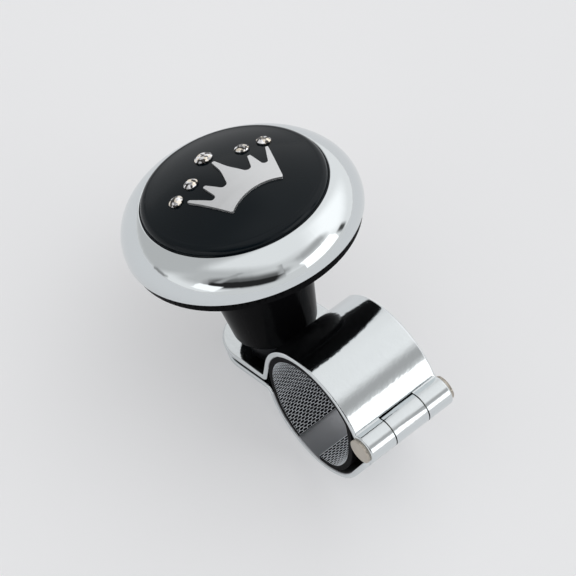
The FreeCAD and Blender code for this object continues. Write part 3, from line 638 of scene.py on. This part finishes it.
class KNOB_OT_bearing(Operator):
    """Finish the ball bearing"""

    bl_idname = "spinner.bearing"
    bl_label = "Ball bearing"

    def execute(self, context):
        finish = context.scene.spinner_finish
        steel = turned_steel("bearing_steel", finish.steel, 0.14)
        nylon = cage_nylon(finish)
        for node in NODES:
            if node.startswith("bearing_"):
                smooth_copy(node, nylon if node == "bearing_cage" else steel)
        return {"FINISHED"}


class KNOB_OT_body(Operator):
    """Finish the knob body"""

    bl_idname = "spinner.body"
    bl_label = "Knob body"

    def execute(self, context):
        smooth_copy("knob_body", black_moulding(context.scene.spinner_finish))
        return {"FINISHED"}


class KNOB_OT_ring(Operator):
    """Finish the chrome ring"""

    bl_idname = "spinner.ring"
    bl_label = "Chrome ring"

    def execute(self, context):
        chrome = context.scene.spinner_finish.chrome
        smooth_copy("chrome_ring", chrome_plate("ring_chrome", chrome, 0.03, 0.0004 * MM))
        return {"FINISHED"}


class KNOB_OT_inlay(Operator):
    """Finish the dome inlay with its crown and stones"""

    bl_idname = "spinner.inlay"
    bl_label = "Inlay, crown and stones"

    def execute(self, context):
        finish = context.scene.spinner_finish
        smooth_copy("dome_inlay", inlay_gloss(finish))
        smooth_copy("crown", crown_trim(finish))
        cut = stone_cut(finish)
        for node in NODES:
            if "stone" in node:
                smooth_copy(node, cut)
        return {"FINISHED"}


class KNOB_OT_stage(Operator):
    """Lay the floor and set the room and the camera"""

    bl_idname = "spinner.stage"
    bl_label = "Stage"

    def execute(self, context):
        studio = context.scene.spinner_studio
        make_floor(studio)
        make_world(studio)
        make_camera(studio)
        context.scene.view_settings.view_transform = "Standard"
        return {"FINISHED"}


# Stage

def floor_normal(studio):
    """The floor's upward direction in the object's frame."""
    return Vector((math.sin(studio.floor_tilt), 0, math.cos(studio.floor_tilt)))


def make_floor(studio):
    """A pale card that touches the object's lowest point and shows only from above."""
    normal = floor_normal(studio)
    lowest = min(normal.dot(v.co) for node in NODES.values() for v in node.data.vertices)
    shape = bmesh.new()
    turned = normal.to_track_quat("Z", "Y").to_matrix().to_4x4()
    bmesh.ops.create_grid(shape, x_segments=1, y_segments=1, size=studio.floor_size / 2,
                          matrix=Matrix.Translation(normal * lowest) @ turned)
    mesh = bpy.data.meshes.new("floor")
    shape.to_mesh(mesh)
    shape.free()
    floor = bpy.data.objects.new("floor", mesh)
    bpy.context.scene.collection.objects.link(floor)
    mesh.materials.append(pale_card(studio))


def pale_card(studio):
    """Pale card that is lifted by plain backdrop colour as it is looked at, and clear from behind."""
    shader = Shader("pale_card")
    grain = shader.noise(25.0, 4.0)
    base = shader.shade(grain, studio.floor_colour, 0.99)
    card = shader.node("ShaderNodeBsdfDiffuse", {}, {"Color": base})
    clear = shader.node("ShaderNodeBsdfTransparent")
    plain = shader.node("ShaderNodeEmission", {}, {
        "Color": opaque(studio.backdrop_colour), "Strength": 1.0})
    lift = looking_rays(shader) * studio.floor_lift
    lifted = shader.node("ShaderNodeMixShader", {}, {0: lift, 1: card, 2: plain})
    under = shader.node("ShaderNodeNewGeometry", out="Backfacing")
    seen = shader.node("ShaderNodeMixShader", {}, {0: under, 1: lifted, 2: clear})
    shader.node("ShaderNodeOutputMaterial", {}, {"Surface": seen})
    return shader.block


def looking_rays(shader):
    """1 for the rays that the camera, metal and glass look along."""
    camera, glossy, clear = shader.node("ShaderNodeLightPath", out=(
        "Is Camera Ray", "Is Glossy Ray", "Is Transmission Ray"))
    return (camera + glossy + clear).clipped()


# Soft areas of the room, in the order in which they are laid: azimuth, elevation, half width, half height
# and soft edge in degrees, then the brightness. They stand for the room that the chrome reflects.
WALLS = (
    ((-112, 24, 36, 26, 8), 0.60),
    ((135, 42, 26, 20, 12), 1.35),
    ((-20, 44, 44, 24, 12), 0.62),
    ((48, 46, 34, 20, 12), 0.78),
)
TABLE_BRIGHTNESS = 0.80
OVER_THE_TABLE = (
    ((-1, 35, 34, 15, 8), 0.16),
    ((-1, 29, 31, 9, 3), 0.025),
    ((-31, 46, 3, 14, 2.5), 0.45),
    ((36, 46, 2, 14, 2), 0.50),
    ((-32, 15, 12, 8, 1.5), 1.40),
    ((80, 22, 19, 14, 1.5), 1.7),
    ((83, 48, 16, 8, 6), 0.50),
    ((108, 13, 4, 6, 3), 0.08),
    ((-76, 2, 8, 3, 3), 0.30),
)


class Room:
    """The studio round the object: soft bright and dark areas placed by direction.

    Azimuth 0 is towards the camera and grows to the picture's right; elevation is above the floor.
    """

    def __init__(self, shader, studio, brightness):
        self.shader = shader
        self.up = floor_normal(studio)
        back = camera_side(studio)
        self.front = (back - self.up * back.dot(self.up)).normalized()
        self.right = self.up.cross(self.front)
        self.look = shader.node("ShaderNodeTexCoord", out="Generated")
        self.light = brightness

    def toward(self, azimuth, elevation):
        """The direction at an azimuth and elevation in degrees."""
        azimuth, elevation = math.radians(azimuth), math.radians(elevation)
        level = self.front * math.cos(azimuth) + self.right * math.sin(azimuth)
        return level * math.cos(elevation) + self.up * math.sin(elevation)

    def along(self, direction):
        """How far a ray's direction goes along another."""
        return self.shader.node("ShaderNodeVectorMath", {"operation": "DOT_PRODUCT"},
                                {0: self.look, 1: direction}, out="Value")

    def area(self, azimuth, elevation, width, height, soft):
        """1 inside a soft-edged rectangle and 0 outside; half sizes in degrees."""
        middle = self.toward(azimuth, elevation)
        across = self.up.cross(middle).normalized()
        ahead = self.along(middle)
        above_zero = ahead.maths("MAXIMUM", ahead, 0.02)
        in_front = ahead.ramp(0.0, 0.05)
        mask = in_front
        for side, half in ((across, width), (middle.cross(across), height)):
            offset = abs(self.along(side) / above_zero)
            outside, inside = (math.tan(math.radians(angle)) for angle in (half + soft, half - soft))
            mask = mask * offset.ramp(outside, inside)
        return mask

    def lay(self, mask, brightness):
        """Bring the light to a brightness where the mask is 1."""
        self.light = self.light + (brightness - self.light) * mask

    def table_top(self):
        """1 below the table's edge, which rises towards the right of the camera."""
        rising_side = self.along(self.toward(42, 0))
        edge = rising_side.ramp(0.2, 0.95) * 0.375
        softness = 0.015
        return (edge - self.along(self.up)).ramp(-softness, softness)


def make_world(studio):
    """A pale room with softly lit and darker parts; the camera itself sees a plain backdrop."""
    shader = Shader("studio_world", world=True)
    room = Room(shader, studio, studio.room_light)
    for area, brightness in WALLS:
        room.lay(room.area(*area), brightness)
    room.lay(room.table_top(), TABLE_BRIGHTNESS)
    for area, brightness in OVER_THE_TABLE:
        room.lay(room.area(*area), brightness)
    soft = shader.node("ShaderNodeBackground", {}, {"Color": (1, 1, 1, 1), "Strength": room.light})
    pale = shader.node("ShaderNodeBackground", {}, {
        "Color": opaque(studio.backdrop_colour), "Strength": 1.0})
    camera = shader.node("ShaderNodeLightPath", out="Is Camera Ray")
    seen = shader.node("ShaderNodeMixShader", {}, {0: camera, 1: soft, 2: pale})
    shader.node("ShaderNodeOutputWorld", {}, {"Surface": seen})
    bpy.context.scene.world = shader.block


def camera_side(studio):
    """The direction from the object to the camera."""
    level = math.cos(studio.elevation)
    return Vector((level * math.cos(studio.azimuth), level * math.sin(studio.azimuth),
                   math.sin(studio.elevation)))


def make_camera(studio):
    """The camera at the photograph's place."""
    camera = bpy.data.cameras.new("camera")
    camera.sensor_width = 36.0
    camera.lens = studio.lens
    camera.clip_start, camera.clip_end = 0.01, 20.0
    item = bpy.data.objects.new("camera", camera)
    back = camera_side(studio)
    item.location = Vector(studio.target) + back * studio.distance
    item.rotation_mode = "QUATERNION"
    upright = (-back).to_track_quat("-Z", "Y")
    item.rotation_quaternion = upright @ Quaternion((0, 0, 1), -studio.roll)
    bpy.context.scene.collection.objects.link(item)
    bpy.context.scene.camera = item


class KNOB_PT_panel(Panel):
    """The object's pieces in the order in which they are made"""

    bl_label = "Spinner knob"
    bl_idname = "KNOB_PT_panel"
    bl_space_type = "VIEW_3D"
    bl_region_type = "UI"
    bl_category = "Spinner knob"

    def draw(self, context):
        scene = context.scene
        for group in (scene.spinner_studio, scene.spinner_finish, scene.spinner_strip, scene.spinner_thread):
            for name in group.__annotations__:
                self.layout.prop(group, name)
        for operator in PIECES:
            self.layout.operator(operator.bl_idname)


PIECES = (KNOB_OT_clamp, KNOB_OT_pad, KNOB_OT_fasteners, KNOB_OT_bearing, KNOB_OT_body,
          KNOB_OT_ring, KNOB_OT_inlay, KNOB_OT_stage)
CLASSES = (StudioSettings, FinishSettings, StripSettings, ThreadSettings, *PIECES, KNOB_PT_panel)


def register():
    """Make the settings, operators and panel known."""
    for item in CLASSES:
        bpy.utils.register_class(item)
    bpy.types.Scene.spinner_studio = PointerProperty(type=StudioSettings)
    bpy.types.Scene.spinner_finish = PointerProperty(type=FinishSettings)
    bpy.types.Scene.spinner_strip = PointerProperty(type=StripSettings)
    bpy.types.Scene.spinner_thread = PointerProperty(type=ThreadSettings)


def unregister():
    """Take them away again."""
    del bpy.types.Scene.spinner_studio
    del bpy.types.Scene.spinner_finish
    del bpy.types.Scene.spinner_strip
    del bpy.types.Scene.spinner_thread
    for item in reversed(CLASSES):
        bpy.utils.unregister_class(item)


def main():
    """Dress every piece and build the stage."""
    register()
    for operator in PIECES:
        group, name = operator.bl_idname.split(".")
        getattr(getattr(bpy.ops, group), name)()


if __name__ == "__main__":
    main()
